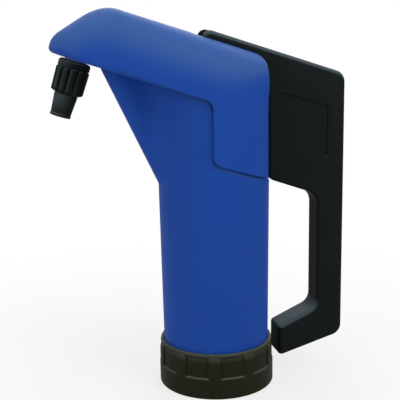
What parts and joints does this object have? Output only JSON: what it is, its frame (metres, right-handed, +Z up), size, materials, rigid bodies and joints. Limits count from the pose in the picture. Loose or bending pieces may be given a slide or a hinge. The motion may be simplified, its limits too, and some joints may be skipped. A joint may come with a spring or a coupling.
{
  "type": "drum pump",
  "caption": "Hand lever drum pump: tilted hood with spout nozzle on a barrel, side lever that drives a piston, and a collar nut for a drum neck.",
  "frame": {"origin": "centre of the drum thread's mouth, on the plane that the pump stands on", "axes": "+Z up along the barrel, -X towards the spout, +X towards the lever"},
  "size_m": [0.2402, 0.0964, 0.3125],
  "materials": {
    "blue_pp": "moulded polypropylene, satin",
    "black_pp": "moulded, fine grain",
    "grey_pp": "moulded, natural grey",
    "stainless": "turned",
    "black_rubber": "moulded seal",
    "ivory_nylon": "turned nylon"
  },
  "bodies": {
    "pump": {"pump_body": "blue_pp", "head_cover": "blue_pp", "spout_underplate": "blue_pp", "underplate_screws": "stainless", "spout_duct": "grey_pp", "duct_gasket": "black_rubber", "nozzle_washer": "black_rubber", "nozzle_tail": "black_pp", "pivot_carrier": "grey_pp", "pivot_pin": "stainless", "pin_clips": "stainless", "gland_plate": "grey_pp", "gland_oring": "black_rubber", "rod_seal": "black_rubber", "gland_nut": "grey_pp", "base_plate": "grey_pp", "base_oring": "black_rubber", "foot_valve_stem": "stainless", "adapter_gasket": "black_rubber", "bung_adapter": "black_pp"},
    "lever": {"lever": "black_pp", "pivot_bushes": "ivory_nylon", "rod_pin": "stainless"},
    "piston": {"rod_head": "grey_pp", "piston_rod": "stainless", "piston": "grey_pp", "piston_seal": "black_rubber", "valve_keeper": "stainless", "rod_nut": "stainless"},
    "piston_valve": {"piston_valve": "black_rubber"},
    "foot_valve": {"foot_valve": "black_rubber"},
    "collar": {"collar_nut": "black_pp"},
    "nozzle_nut": {"nozzle_nut": "black_pp"}
  },
  "joints": [
    {"name": "lever_swing", "type": "hinge", "parent": "pump", "child": "lever", "pos_m": [0.033, 0, 0.2545], "axis": [0, -1, 0], "range_deg": [0, 80]},
    {"name": "piston_slide", "type": "slide", "parent": "pump", "child": "piston", "axis": [0, 0, 1], "range_m": [-0.04824, 0.0002]},
    {"name": "piston_valve_lift", "type": "slide", "parent": "piston", "child": "piston_valve", "axis": [0, 0, 1], "range_m": [0, 0.003]},
    {"name": "foot_valve_lift", "type": "slide", "parent": "pump", "child": "foot_valve", "axis": [0, 0, 1], "range_m": [0, 0.004]},
    {"name": "collar_turn", "type": "hinge", "parent": "pump", "child": "collar", "pos_m": [0, 0, 0.01], "axis": [0, 0, 1], "continuous": true},
    {"name": "nozzle_nut_turn", "type": "hinge", "parent": "pump", "child": "nozzle_nut", "pos_m": [-0.11676, 0, 0.24818], "axis": [-0.3156, 0, -0.9489], "continuous": true}
  ],
  "couplings": [
    {"joint": "piston_slide", "follows": "lever_swing", "m_per_rad": -0.034409}
  ]
}
